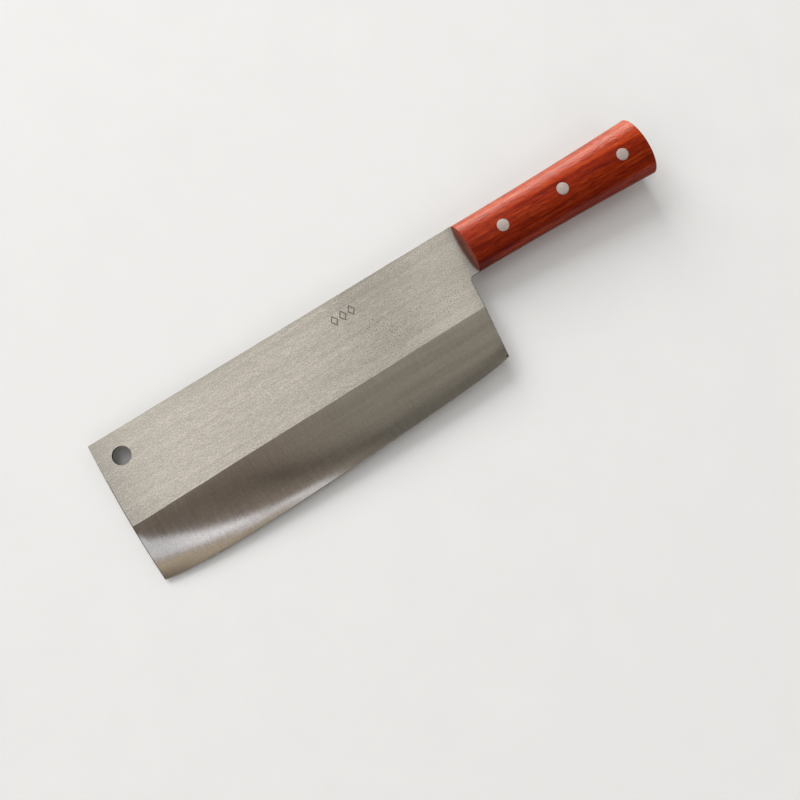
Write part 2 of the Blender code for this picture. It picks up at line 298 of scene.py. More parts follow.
def new_material(name):
    """A material with its net, its principled shader and its object coordinates."""
    material = bpy.data.materials.new(name)
    material.use_nodes = True
    net = Net(material.node_tree, "ShaderNodeOutputMaterial")
    shader = net.node("ShaderNodeBsdfPrincipled")
    net.put(Signal(net, shader.outputs[0]), net.surface)
    return material, net, shader, net.source("ShaderNodeTexCoord", "Object")


# ------------------------------------------------------------------ materials
def painted_edge_shade(x, y):
    """Factor on the colour, painted shade: a thin dark line along the blade's front end."""
    # how much of the colour the painted shade takes at the front end and at the heel
    front_shade, heel_shade = 0.76, 0.68
    depth = ORIGIN_DEPTH - y
    share = depth / EDGE_DEPTH
    lean = share * FRONT_LEAN + share * (1.0 - share) * (4 * FRONT_CROWN)
    inward = x + ORIGIN_ALONG + lean
    front = inward.smooth(span=(0.50 * MM, 0.22 * MM)) \
        * depth.smooth(span=(8 * MM, 28 * MM), to=(0.25, 1.0))
    # painted shade along the heel too, less strongly
    choil = depth.linear(span=(NECK_DEPTH, EDGE_DEPTH),
                         to=(CHOIL_TOP - ORIGIN_ALONG, HEEL_AT - ORIGIN_ALONG))
    heel = (choil - x).smooth(span=(0.46 * MM, 0.20 * MM)) \
        * depth.smooth(span=(NECK_DEPTH, NECK_DEPTH + 2 * MM))
    return 1.0 - (front * front_shade + heel * heel_shade)


def satin_flat():
    """Flat faces: satin, brushed along the blade, with a fine speckle."""
    material, net, shader, coords = new_material("satin_flat_steel")
    x, y, _ = coords.axes()
    speck = coords.stretched(rate=(1450, 1850, 900), turn=0.2, detail=1.0)
    stroke = coords.stretched(rate=(300, 1750, 300), detail=1.0)
    grain = coords.stretched(rate=(85, 1100, 85), detail=3.0, rough=0.65)
    bands = coords.stretched(rate=(4, 130, 4))
    lines = coords.stretched(rate=(14, 520, 14))
    cloud = coords.stretched(rate=(18, 30, 18))
    hair = coords.stretched(rate=(9, 1500, 9), turn=0.012, detail=1.0, rough=0.4)
    hair = hair.smooth(span=(0.69, 0.76))
    # sum of relative changes to the steel's colour
    value = speck.swing(by=0.31, span=WIDE_RANGE) + grain.swing(by=0.05, span=WIDE_RANGE)
    value += stroke.swing(by=0.13, span=WIDE_RANGE)
    value += bands.swing(by=0.09)
    value += lines.swing(by=0.04)
    value += cloud.swing(by=0.035)
    value += hair * 0.09

    def below_spine(deep, shallow):
        """The span of y between two depths in mm."""
        return ORIGIN_DEPTH - deep * MM, ORIGIN_DEPTH - shallow * MM

    # a little darker at the front end and along the spine
    value += x.linear(span=(-159.5 * MM, -143 * MM), to=(-0.09, 0.0))
    value += y.smooth(span=below_spine(3.5, 0), to=(0.0, -0.05))
    value += y.linear(span=below_spine(22, 5), to=(0.0, -0.09)) \
        * x.smooth(span=(-30 * MM, -80 * MM))
    # darker patches by the spine: x span coming in, x span going out, depths, change
    for start, end, depths, change in (
            ((-30, -10), (32, 16), (20, 4), -0.11),
            ((-124, -112), (-72, -88), (6, 2), -0.09)):
        patch = x.smooth(span=[place * MM for place in start]) \
            * x.smooth(span=[place * MM for place in end])
        value += patch * y.smooth(span=below_spine(*depths)) * change
    # lighter low down towards the handle
    value += x.smooth(span=(0.0, 22 * MM)) * y.smooth(span=below_spine(26, 35)) * 0.12
    # painted shade in front of the handle: its shadow and dark reflection on the blade
    value += x.smooth(span=(HANDLE_FRONT_X - 5.5 * MM, HANDLE_FRONT_X)) \
        * y.smooth(span=(7 * MM, 15 * MM)) * -0.30
    darkest, lightest = -0.22, 0.36
    value = net.math("MINIMUM", net.math("MAXIMUM", value, darkest), lightest)
    crosswise = net.fill(net.node("ShaderNodeCombineXYZ"), {1: 1.0})
    # the base colour carries the painted shade along the front end and the heel
    net.fill(shader, {
        "Base Color": net.scale((0.630, 0.598, 0.543), by=(value + 1.0) * painted_edge_shade(x, y)),
        "Metallic": 1.0,
        "Roughness": speck.linear(span=NOISE_RANGE, to=(0.28, 0.36)) + cloud.swing(by=0.02),
        "Anisotropic": 0.94,
        "Tangent": crosswise,
        "Normal": (speck * 0.7 + grain * 0.5).bump(strength=0.07, distance=0.00003)})
    return material


def ground_bevel():
    """Wide ground bevel: smoother, with fine lines across it, slightly slanted."""
    material, net, shader, coords = new_material("ground_bevel_steel")
    x, y, _ = coords.axes()
    slant = math.radians(9)
    cross = coords.stretched(rate=(2600, 110, 110), turn=slant, rough=0.55)
    coarse = coords.stretched(rate=(420, 26, 26), turn=slant)
    cloud = coords.stretched(rate=(26, 48, 26))
    speck = coords.stretched(rate=(1300, 1300, 900), detail=1.0)
    value = cross.swing(by=0.06) + coarse.swing(by=0.02)
    value += cloud.swing(by=0.03)
    value += speck.swing(by=0.06)
    # broad streaks along it, from the way it was drawn over the wheel; stronger to the heel
    streak = coords.stretched(rate=(9, 230, 9), turn=0.03, shift=(0.3, 0.1, 0.0))
    wisp = coords.stretched(rate=(22, 560, 22), turn=0.05)
    streak = streak.swing(by=0.085) + wisp.swing(by=0.03)
    value += streak * x.smooth(span=(-90 * MM, 0.0), to=(0.35, 1.0))
    # the base colour carries the painted shade along the front end and the heel
    net.fill(shader, {
        "Base Color": net.scale((0.60, 0.553, 0.497), by=(value + 1.0) * painted_edge_shade(x, y)),
        "Metallic": 1.0,
        "Roughness": coarse.linear(span=NOISE_RANGE, to=(0.048, 0.062)) + cloud.swing(by=0.006),
        "Normal": (cross * 0.6 + coarse * 0.35).bump(strength=0.03, distance=0.00003)})
    return material


def edge_steel(name, colour, rough):
    """Steel of the narrow surfaces; rough is its least and greatest roughness."""
    material, net, shader, coords = new_material(name)
    lines = coords.stretched(rate=(900, 900, 260), rough=0.6)
    chips = coords.stretched(rate=(180, 180, 90), detail=3.0, rough=0.6)
    value = lines.swing(by=0.12) + chips.linear(span=(0.35, 0.65), to=(-0.14, 0.08))
    net.fill(shader, {
        "Base Color": net.scale(colour, by=value + 1.0),
        "Metallic": 1.0,
        "Roughness": lines.linear(span=NOISE_RANGE, to=rough),
        "Normal": (lines + chips).bump(strength=0.5, distance=0.00006)})
    return material


def across_handle(x, y):
    """Place across the handle: +1 at its spine side, -1 at its edge side."""
    share = (x - HANDLE_FRONT_X) / HANDLE_LENGTH
    middle = ORIGIN_DEPTH - OVAL_CENTRE - share * OVAL_DROP
    half_width = OVAL_WIDTH[0] / 2 + (share * (OVAL_WIDTH[1] / 2)
                                      + share * share * (OVAL_WIDTH[2] / 2))
    return (y - middle) / half_width


# wood colours from dark to light, with their places on the ramp
WOOD_TONES = [
    (0.0, (0.09, 0.005, 0.0012)),
    (0.28, (0.19, 0.012, 0.0022)),
    (0.55, (0.275, 0.023, 0.0036)),
    (0.80, (0.37, 0.042, 0.007)),
    (1.0, (0.47, 0.070, 0.013)),
]


def lacquered_wood(name, offset, end_grain=False):
    """Red-orange hardwood, grain along the handle, under a clear gloss lacquer."""
    material, net, shader, coords = new_material(name)
    x, y, _ = coords.axes()
    # the boards are sawn slightly off the grain, so the rings run out along the handle
    board = coords.mapped(rotation=(0.2, 0.035, 0.05), shift=offset)
    broad = board.stretched(rate=(7, 190, 150), distortion=0.4)
    rings = board.stretched(rate=(11, 620, 420), detail=3.0, rough=0.6, distortion=0.3)
    fibre = board.stretched(rate=(45, 2600, 2200), rough=0.6)
    streaks = board.stretched(rate=(130, 1500, 1300), shift=(0.4, 0.0, 0.2), rough=0.6)
    fleck = board.stretched(rate=(300, 1900, 1600), shift=(0.0, 0.7, 0.1), detail=1.0)
    fleck = fleck.smooth(span=(0.60, 0.70))
    pore = board.stretched(rate=(190, 4200, 4200), detail=1.0)
    pore = pore.smooth(span=(0.63, 0.72))
    ring_range = (0.28, 0.72)
    tone = broad.linear(span=ring_range) * 0.5 + rings.linear(span=ring_range) * 0.5
    tone += streaks.swing(by=0.25)
    # painted light: lighter towards the spine side, where the light falls, and slightly darker on
    # the edge side below the middle
    tone += (y.linear(span=(12 * MM, 24 * MM), to=(-0.07, 0.0))
             + y.linear(span=(27 * MM, 37 * MM), to=(0.0, 0.30)))
    # and darker towards the blade, below the bright side
    tone += x.linear(span=(HANDLE_FRONT_X, HANDLE_FRONT_X + 42 * MM), to=(-0.22, 0.0)) \
        * y.smooth(span=(34 * MM, 27 * MM))
    colour = net.ramp(tone, WOOD_TONES)
    for amount, dark in (
            (fibre.linear(span=(0.35, 0.75), to=(0.0, 0.35)), (0.17, 0.017, 0.005)),
            (pore * 0.6, (0.055, 0.007, 0.003)),
            (fleck * 0.60, (0.085, 0.009, 0.003))):
        colour = net.mix(amount, colour, dark)
    # painted shade: less red where it turns down on the spine side
    across = across_handle(x, y)
    colour = net.mix(across.smooth(span=(0.80, 0.91)), colour, (0.80, 1.0, 1.0), "MULTIPLY")
    coat_share = 1.0
    if end_grain:
        colour = net.mix(0.55, colour, (0.13, 0.03, 0.015))
        coat_share = 0.5
    # the light it throws on the table on that side is kept paler than the wood itself
    thrown = net.source("ShaderNodeLightPath", "Is Diffuse Ray")
    thrown = thrown * y.smooth(span=(22 * MM, 27 * MM))
    colour = net.mix(thrown * 0.6, colour, (0.07, 0.055, 0.05))
    # the lacquer is worn thin where the handle is gripped, low on the edge side
    worn = across.smooth(span=(-0.98, -0.86), to=(0.25, 1.0))
    relief = fibre * 0.5 + rings * 0.6 - pore * 0.6
    # orange peel in the lacquer
    peel = coords.stretched(rate=(620, 900, 900), rough=0.6)
    coat_relief = (fibre * 0.2 + rings * 0.2) + (peel * 1.8 + streaks * 0.5)
    net.fill(shader, {
        "Base Color": colour,
        "Roughness": fibre.linear(span=NOISE_RANGE, to=(0.40, 0.52)),
        "Specular IOR Level": 0.0,
        "Coat Weight": worn * coat_share,
        "Coat IOR": 1.34,
        "Coat Roughness": rings.linear(span=NOISE_RANGE, to=(0.18, 0.24)),
        "Normal": relief.bump(strength=0.25, distance=0.00008),
        "Coat Normal": coat_relief.bump(strength=0.75, distance=0.0002)})
    return material


def rivet_metal():
    """Pale rivet heads, ground flush: fine lines and small dents."""
    material, net, shader, coords = new_material("rivet_metal")
    arcs = coords.stretched(rate=(500, 2800, 500), turn=0.5, rough=0.6)
    dents = coords.noise(scale=900.0, detail=3.0, rough=0.6)
    value = arcs.swing(by=0.06) + dents.linear(span=(0.35, 0.65), to=(-0.10, 0.05))
    net.fill(shader, {
        "Base Color": net.scale((0.60, 0.503, 0.468), by=value + 1.0),
        "Metallic": 0.45,
        "Roughness": dents.linear(span=NOISE_RANGE, to=(0.34, 0.48)),
        "Normal": (arcs + dents * 0.8).bump(strength=0.3, distance=0.00005)})
    return material


# ------------------------------------------------------------------ mesh helpers
parts = bpy.data.collections.new("cleaver_looks")
scene.collection.children.link(parts)


def mesh_from(work, name):
    mesh = bpy.data.meshes.new(name)
    work.to_mesh(mesh)
    work.free()
    return mesh


def new_object(name, mesh):
    obj = bpy.data.objects.new(name, mesh)
    parts.objects.link(obj)
    return obj


def closed_object(name, verts, faces):
    """An object from plain lists, with its faces turned outwards."""
    mesh = bpy.data.meshes.new(name)
    mesh.from_pydata(verts, [], faces)
    work = bmesh.new()
    work.from_mesh(mesh)
    bmesh.ops.recalc_face_normals(work, faces=work.faces)
    work.to_mesh(mesh)
    work.free()
    return new_object(name, mesh)


def applied(obj):
    """The object with its modifiers made into its mesh."""
    graph = bpy.context.evaluated_depsgraph_get()
    graph.update()
    mesh = bpy.data.meshes.new_from_object(obj.evaluated_get(graph))
    old = obj.data
    obj.modifiers.clear()
    obj.data = mesh
    bpy.data.meshes.remove(old)
    return obj


def boolean(obj, cutters, operation="DIFFERENCE"):
    for cutter in cutters:
        modifier = obj.modifiers.new(f"cut_{cutter.name}", "BOOLEAN")
        modifier.operation = operation
        modifier.solver = "EXACT"
        modifier.object = cutter
    applied(obj)
    for cutter in cutters:
        bpy.data.objects.remove(cutter, do_unlink=True)


def cylinder(name, along, depth, radius, low, high, steps):
    work = bmesh.new()
    bmesh.ops.create_cone(work, cap_ends=True, segments=steps, radius1=radius,
                          radius2=radius, depth=high - low)
    obj = new_object(name, mesh_from(work, name))
    obj.location = at(along, depth, (low + high) / 2)
    return obj


def ring_prism(name, outer, inner, low, high):
    """A closed band between two outlines with the same number of points, from low to high."""
    count = len(outer)
    verts = [(p.x, p.y, z) for z in (low, high) for ring in (outer, inner) for p in ring]
    low_out, low_in, high_out, high_in = (count * k for k in range(4))
    faces = []
    for i in range(count):
        j = (i + 1) % count
        faces += [(low_out + i, low_out + j, high_out + j, high_out + i),
                  (low_in + j, low_in + i, high_in + i, high_in + j),
                  (low_out + j, low_out + i, low_in + i, low_in + j),
                  (high_out + i, high_out + j, high_in + j, high_in + i)]
    return closed_object(name, verts, faces)


def bevel_sharp(obj, width, degrees, keep=None):
    """Rounds the edges sharper than the given angle, but not those that keep() names."""
    work = bmesh.new()
    work.from_mesh(obj.data)
    bmesh.ops.remove_doubles(work, verts=work.verts, dist=2e-7)
    limit = math.radians(degrees)
    edges = [e for e in work.edges if len(e.link_faces) == 2
             and e.calc_face_angle(0.0) > limit and not (keep and keep(e))]
    bmesh.ops.bevel(work, geom=edges, offset=width, offset_type="OFFSET", segments=3,
                    profile=0.5, affect="EDGES", clamp_overlap=True)
    work.to_mesh(obj.data)
    work.free()


def shade(obj, degrees):
    obj.data.shade_smooth()
    obj.data.set_sharp_from_angle(angle=math.radians(degrees))
    modifier = obj.modifiers.new("even_normals", "WEIGHTED_NORMAL")
    modifier.keep_sharp = True
    modifier.weight = 50


def finish_piece(obj, stands_for):
    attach(obj, "root")
    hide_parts(stands_for)


# ------------------------------------------------------------------ blade
def tang_edges(along):
    """Depths at which the blade's steel comes out of the handle's oval."""
    centre, wide, thick = oval(along)
    reach = wide * math.sqrt(1.0 - ((HALF + GAP) / thick) ** 2)
    return centre - reach, centre + reach


def blade_outline():
    """Points from the front corner round the edge, heel and tang, and back on the spine."""
    points = []
    for i in range(5):
        angle = math.pi / 2 * i / 4
        points.append((front_at(0) + FRONT_CORNER - FRONT_CORNER * math.sin(angle),
                       FRONT_CORNER - FRONT_CORNER * math.cos(angle)))
    for i in range(1, 25):
        depth = FRONT_CORNER + (EDGE_DEPTH - FRONT_CORNER) * i / 24
        points.append((front_at(depth), depth))
    points.append((choil_at(EDGE_DEPTH), EDGE_DEPTH))
    # fillet between the choil and the tang
    lower = tang_edges(HANDLE_FRONT)[1]
    slope = math.atan2(CHOIL_TOP - HEEL_AT, EDGE_DEPTH - NECK_DEPTH)
    turn = math.pi / 2 - slope
    centre_along = choil_at(lower) + NECK_FILLET * math.tan(turn / 2)
    centre_depth = lower + NECK_FILLET
    for i in range(13):
        angle = math.pi - slope - turn * i / 12
        points.append((centre_along + NECK_FILLET * math.cos(angle),
                       centre_depth - NECK_FILLET * math.sin(angle)))
    steps = 48
    for i in range(steps + 1):
        along = HANDLE_FRONT + HANDLE_LENGTH * i / steps
        points.append((along, tang_edges(along)[1]))
    for i in range(steps + 1):
        along = BUTT - HANDLE_LENGTH * i / steps
        points.append((along, tang_edges(along)[0]))
    points.append((HANDLE_FRONT - 0.6 * MM, 0.0))
    # the spine is hand finished: it wanders by a few hundredths of a millimetre
    for i in range(1, 60):
        along = (HANDLE_FRONT - 2 * MM) * (1 - i / 60)
        wander = 0.045 * MM * math.sin(along * 410) * math.sin(along * 97 + 1.0)
        points.append((along, wander + 0.02 * MM))
    return [at(along, depth) for along, depth in points]


def outline_solid(name, points, half):
    """A bmesh of the outline, filled and thickened by half to each side."""
    curve = bpy.data.curves.new(name, "CURVE")
    curve.dimensions = "2D"
    curve.fill_mode = "BOTH"
    curve.extrude = half
    spline = curve.splines.new("POLY")
    spline.points.add(len(points) - 1)
    for spline_point, point in zip(spline.points, points):
        spline_point.co = (point.x, point.y, 0.0, 1.0)
    spline.use_cyclic_u = True
    obj = bpy.data.objects.new(name, curve)
    scene.collection.objects.link(obj)
    graph = bpy.context.evaluated_depsgraph_get()
    mesh = bpy.data.meshes.new_from_object(obj.evaluated_get(graph))
    bpy.data.objects.remove(obj, do_unlink=True)
    bpy.data.curves.remove(curve)
    work = bmesh.new()
    work.from_mesh(mesh)
    bpy.data.meshes.remove(mesh)
    bmesh.ops.remove_doubles(work, verts=work.verts, dist=1e-7)
    # merge the triangles of each flat cap into one face, and leave the wall as it is
    inner = [e for e in work.edges if len(e.link_faces) == 2
             and all(abs(f.normal.z) > 0.99 for f in e.link_faces)]
    bmesh.ops.dissolve_edges(work, edges=inner, use_verts=False)
    bmesh.ops.recalc_face_normals(work, faces=work.faces)
    return work


def grind_half(along, share):
    """Half thickness of the ground part: apple-seed taper, with the wheel's low waves."""
    top = min(share, STRIP_SHARE)
    taper = top * (1 - GRIND_CROWN) + GRIND_CROWN * top * top
    half = HALF + (STRIP_HALF - HALF) * taper
    if share > STRIP_SHARE:
        return half + (EDGE_HALF - half) * (share - STRIP_SHARE) / (1 - STRIP_SHARE)
    fade = smoothstep(0.0, 0.12, share) * (1 - smoothstep(0.85, 0.97, share))
    wave = sum(height * math.sin(along * rate + slant * share + phase)
               for height, rate, slant, phase in GRIND_WAVES) * MM * fade
    # the front end took a little more off the wheel
    toe = -0.027 * MM * math.exp(-(along + 2.0 * MM) / (1.1 * MM)) \
        * smoothstep(0.0, 0.25, share) * (1 - smoothstep(0.35, 0.6, share))
    return half + wave + toe


def grind(work):
    """Cuts rows and stations into the part below the grind line, and thins it."""
    for share in GRIND_ROWS:
        bmesh.ops.bisect_plane(work, geom=work.verts[:] + work.edges[:] + work.faces[:],
                               dist=1e-8, plane_co=at(0, GRIND_LINE + GRIND_SPAN * share),
                               plane_no=(0, 1, 0))
    for station in GRIND_STATIONS_MM:
        faces = [f for f in work.faces if f.calc_center_median().y < GRIND_Y - 1e-6]
        edges = list({e for f in faces for e in f.edges})
        verts = list({vert for f in faces for vert in f.verts})
        bmesh.ops.bisect_plane(work, geom=verts + edges + faces, dist=1e-8,
                               plane_co=at(station * MM, 0), plane_no=(1, 0, 0))
    for vert in work.verts:
        along = vert.co.x + ORIGIN_ALONG
        share = (ORIGIN_DEPTH - vert.co.y - GRIND_LINE) / GRIND_SPAN
        if share < -1e-6 or along > GRIND_END:
            continue
        share = max(0.0, share)
        # the grind line wanders a little, but not at its ends
        wander = 0.0
        if 3 * MM <= along <= 196 * MM:
            wander = (0.10 * math.sin(along * 60 + 0.4) + 0.05 * math.sin(along * 190)) \
                * MM * (1 - smoothstep(0, 0.3, share))
        depth = GRIND_LINE + share * (edge_depth(along) - GRIND_LINE) + wander
        half = grind_half(along, share) if share > 1e-6 else HALF
        vert.co = at(along, depth, math.copysign(half, vert.co.z))
    bmesh.ops.triangulate(work, faces=[f for f in work.faces if len(f.verts) == 4
                                       and f.calc_center_median().y < GRIND_Y - 1e-6])


def cut_holes(obj):
    low, high = -3 * MM, 3 * MM
    cutters = [cylinder("hang_cut", HANG_ALONG, HANG_DEPTH, HANG_RADIUS, low, high, 96)]
    for where in RIVETS:
        cutters.append(cylinder(f"{where}_tang_cut", *rivet_place(where),
                                TUBE_RADIUS + RIVET_PLAY, low, high, 40))
    boolean(obj, cutters)


def strike_marks(obj):
    """A plain stamped mark: three small lozenges struck into the left face."""
    marks = []
    for i in range(3):
        along, depth = ((first + step * i) * MM for first, step in zip(MARK_FIRST, MARK_STEP))
        outer, inner = ([at(along - wide, depth), at(along, depth + tall),
                         at(along + wide, depth), at(along, depth - tall)]
                        for wide, tall in (MARK_OUTER, MARK_INNER))
        marks.append(ring_prism(f"mark_{i}", outer, inner, HALF - MARK_SUNK, HALF + 0.5 * MM))
    boolean(obj, marks)


# material slots of the blade
FLAT, BEVEL, WALL, STRIP, HOLE, MARK = range(6)
# the narrow surfaces, in slot order: name, colour, least and greatest roughness
EDGE_STEELS = [
    # the walls' dark steel is partly painted shade, for the dark line along the blade's outline
    ("spine_and_end_steel", (0.16, 0.15, 0.138), (0.42, 0.6)),
    ("sharpened_strip_steel", (0.62, 0.60, 0.56), (0.30, 0.42)),
    # nearly black: painted shade inside the hanging hole
    ("hole_wall_shade_steel", (0.055, 0.047, 0.042), (0.45, 0.6)),
    ("stamped_mark_steel", (0.25, 0.235, 0.215), (0.42, 0.6)),
]


def blade_slot(centre, normal):
    """Material slot of a blade face."""
    along, depth = centre.x + ORIGIN_ALONG, ORIGIN_DEPTH - centre.y
    facing = abs(normal.z)
    if math.hypot(along - HANG_ALONG, depth - HANG_DEPTH) < HANG_RADIUS + 0.05 * MM:
        return HOLE
    if 130 * MM < along < 147 * MM and 5 * MM < depth < 16 * MM \
            and HALF - 0.12 * MM < centre.z < HALF - 1e-6:
        return MARK
    if facing < 0.75:
        return WALL
    if depth > edge_depth(along) - STRIP_WIDTH * 0.97 and depth > 60 * MM:
        return STRIP
    if facing < 0.999999 and depth > GRIND_LINE - 0.3 * MM and along < 203 * MM:
        return BEVEL if facing > 0.95 else WALL
    return WALL if facing < 0.95 else FLAT


def sharpen_slot_borders(mesh):
    """Keeps the grind line and the strip's border crisp."""
    work = bmesh.new()
    work.from_mesh(mesh)
    for edge in work.edges:
        if len(edge.link_faces) != 2:
            continue
        pair = {f.material_index for f in edge.link_faces}
        if len(pair) == 2 and not pair <= {FLAT, WALL, HOLE, MARK}:
            edge.smooth = False
    work.to_mesh(mesh)
    work.free()


def on_cutting_edge(edge):
    return all(abs(v.co.z) < 0.05 * MM and v.co.y < GRIND_Y for v in edge.verts)


def build_blade():
    work = outline_solid("blade_steel", blade_outline(), HALF)
    grind(work)
    obj = new_object("blade_steel", mesh_from(work, "blade_steel"))
    cut_holes(obj)
    strike_marks(obj)
    bevel_sharp(obj, width=0.18 * MM, degrees=35, keep=on_cutting_edge)
    obj.data.materials.append(satin_flat())
    obj.data.materials.append(ground_bevel())
    for name, colour, rough in EDGE_STEELS:
        obj.data.materials.append(edge_steel(name, colour, rough))
    for face in obj.data.polygons:
        face.material_index = blade_slot(face.center, face.normal)
    shade(obj, degrees=22)
    sharpen_slot_borders(obj.data)
    finish_piece(obj, "blade")


# ------------------------------------------------------------------ handle
def oval_body(name, side=0):
    """The handle's oval, whole (side 0) or the half on one side of the tang (+1 or -1)."""
    rounds = [RIM * share for share in (0.0, 0.08, 0.3, 0.62, 1.0)]
    stations = list(rounds)
    stations += [RIM + (HANDLE_LENGTH - 2 * RIM) * i / OVAL_STATIONS
                 for i in range(1, OVAL_STATIONS)]
    stations += [HANDLE_LENGTH - place for place in reversed(rounds)]
    rings = []
    for station in stations:
        along = HANDLE_FRONT + station
        centre, wide, thick = oval(along)
        to_end = min(station, HANDLE_LENGTH - station)
        if to_end < RIM:
            shrink = RIM - math.sqrt(max(0.0, RIM ** 2 - (RIM - to_end) ** 2))
            wide, thick = wide - shrink, thick - shrink
        if side == 0:
            angles = [2 * math.pi * k / OVAL_AROUND for k in range(OVAL_AROUND)]
        else:
            start = math.asin(min(0.99, (HALF + GAP) / thick))
            steps = OVAL_AROUND // 2
            angles = [start + (math.pi - 2 * start) * k / steps for k in range(steps + 1)]
        rings.append([at(along, centre - wide * math.cos(angle),
                         (side or 1) * thick * math.sin(angle)) for angle in angles])
    count = len(rings[0])
    faces = []
    for i in range(len(rings) - 1):
        this, after = i * count, (i + 1) * count
        for k in range(count if side == 0 else count - 1):
            j = (k + 1) % count
            faces.append((this + k, this + j, after + j, after + k))
        if side:
            faces.append((this + count - 1, this, after, after + count - 1))
    faces.append(tuple(range(count)))
    faces.append(tuple(range((len(rings) - 1) * count, len(rings) * count)))
    return closed_object(name, [point for ring in rings for point in ring], faces)


def build_scale(node, side, offset):
    obj = oval_body(f"{node}_wood", side)
    cutters = []
    for where in RIVETS:
        along, depth = rivet_place(where)
        top = surface_height(along, depth)
        for kind, radius, bottom, over, steps in (
                ("bore", TUBE_RADIUS, 0.5 * HALF, 3 * MM, 48),
                ("seat", HEAD_RADIUS, top - HEAD_DEPTH, 4 * MM, 72)):
            low, high = sorted((side * bottom, side * (top + over)))
            cutters.append(cylinder(f"{kind}_{node}_{where}", along, depth,
                                    radius + RIVET_PLAY, low, high, steps))
    boolean(obj, cutters)
    obj.data.materials.append(lacquered_wood(f"{node}_lacquered_wood", offset))
    obj.data.materials.append(lacquered_wood(f"{node}_end_grain", offset, end_grain=True))
    for face in obj.data.polygons:
        if abs(face.normal.x) > 0.9:
            face.material_index = 1
    shade(obj, degrees=35)
    finish_piece(obj, node)


def turned(name, profile):
    """A solid turned about Z from (radius, z) points."""
    work = bmesh.new()
    verts = [work.verts.new((radius, 0.0, z)) for radius, z in profile]
    for first, second in zip(verts, verts[1:]):
        work.edges.new((first, second))
    obj = new_object(name, mesh_from(work, name))
    modifier = obj.modifiers.new("turn", "SCREW")
    modifier.angle = 2 * math.pi
    modifier.steps = modifier.render_steps = 64
    modifier.use_merge_vertices = True
    modifier.merge_threshold = 1e-6
    return applied(obj)


def build_rivets(metal):
    """Male halves from the left with a shank, female halves from the right with a tube."""
    for where in RIVETS:
        along, depth = rivet_place(where)
        top = surface_height(along, depth)
        seat = top - HEAD_DEPTH + 0.05 * MM
        over = top + 1.5 * MM              # heads stand proud until ground to the oval
        bore_floor = -seat + 0.6 * MM
        bore = SHANK_RADIUS + 0.05 * MM
        tube_end = seat - 0.5 * MM
        shank_end = bore_floor + 0.5 * MM
        chamfer = 0.4 * MM
        male = turned(f"{where}_rivet_male_metal", [
            (0.0, over), (HEAD_RADIUS, over), (HEAD_RADIUS, seat), (SHANK_RADIUS, seat),
            (SHANK_RADIUS, shank_end + chamfer), (SHANK_RADIUS - chamfer, shank_end),
            (0.0, shank_end)])
        female = turned(f"{where}_rivet_female_metal", [
            (0.0, bore_floor), (bore, bore_floor), (bore, tube_end),
            (TUBE_RADIUS, tube_end), (TUBE_RADIUS, -seat), (HEAD_RADIUS, -seat),
            (HEAD_RADIUS, -over), (0.0, -over)])
        for obj, node in ((male, f"{where}_rivet_male"), (female, f"{where}_rivet_female")):
            obj.location = at(along, depth)
            bpy.context.view_layer.update()
            boolean(obj, [oval_body("grind")], "INTERSECT")
            bevel_sharp(obj, width=0.14 * MM, degrees=50)
            # the boolean may leave an empty slot
            obj.data.materials.clear()
            obj.data.materials.append(metal)
            shade(obj, degrees=40)
            finish_piece(obj, node)


# ------------------------------------------------------------------ floor
def lowest_of(nodes, normal):
    return min(normal.dot(vert.co) for obj in nodes for vert in obj.data.vertices)


def lying_normal():
    """Floor normal with the cleaver on its right side, on the blade and the handle's scale."""
    roll = math.radians(0.8)
    low, high = math.radians(0.5), math.radians(4.0)
    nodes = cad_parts
    for _ in range(40):
        pitch = (low + high) / 2
        normal = Vector((math.sin(pitch), math.sin(roll), math.cos(pitch))).normalized()
        if lowest_of([nodes["blade"]], normal) > lowest_of([nodes["right_scale"]], normal):
            low = pitch
        else:
            high = pitch
    return normal


def pale_floor(hole):
    """Pale floor with painted shade under the hanging hole; hole is the place under the hanging
    hole, in the floor's coordinates.
    """
    material, net, shader, coords = new_material("pale_floor")
    x, y, _ = coords.axes()
    fine = coords.stretched(rate=(30, 30, 30), detail=3.0, rough=0.6)
    # painted shade: the floor under the hanging hole is darkened, so that the hole reads as dark
    off_x, off_y = x - hole.x, y - hole.y
    away = net.math("SQRT", off_x * off_x + off_y * off_y)
    hole_shade = away.smooth(span=(4.2 * MM, 7.5 * MM), to=(0.48, 1.0))
    shade_by = fine.linear(span=NOISE_RANGE, to=(0.99, 1.01)) * hole_shade
    lit = net.fill(shader, {
        "Base Color": net.scale((0.925, 0.927, 0.925), by=shade_by),
        "Roughness": 0.75,
        "Specular IOR Level": 0.2})
    # from below, the camera looks through the floor
    clear = net.source("ShaderNodeBsdfTransparent", 0)
    from_below = net.source("ShaderNodeNewGeometry", "Backfacing") \
        * net.source("ShaderNodeLightPath", "Is Camera Ray")
    both = net.fill(net.node("ShaderNodeMixShader"), {0: from_below, 1: lit, 2: clear})
    net.put(both, net.surface)
    return material


def build_floor():
    normal = lying_normal()
    work = bmesh.new()
    bmesh.ops.create_grid(work, x_segments=8, y_segments=8, size=4.0)
    floor = bpy.data.objects.new("floor", mesh_from(work, "floor"))
    scene.collection.objects.link(floor)
    floor.rotation_mode = "QUATERNION"
    floor.rotation_quaternion = normal.to_track_quat("Z", "Y")
    floor.location = normal * (lowest_of(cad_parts.values(), normal) - 1.1 * MM)
    hole = at(HANG_ALONG, HANG_DEPTH) - floor.location
    floor.data.materials.append(pale_floor(floor.rotation_quaternion.inverted() @ hole))


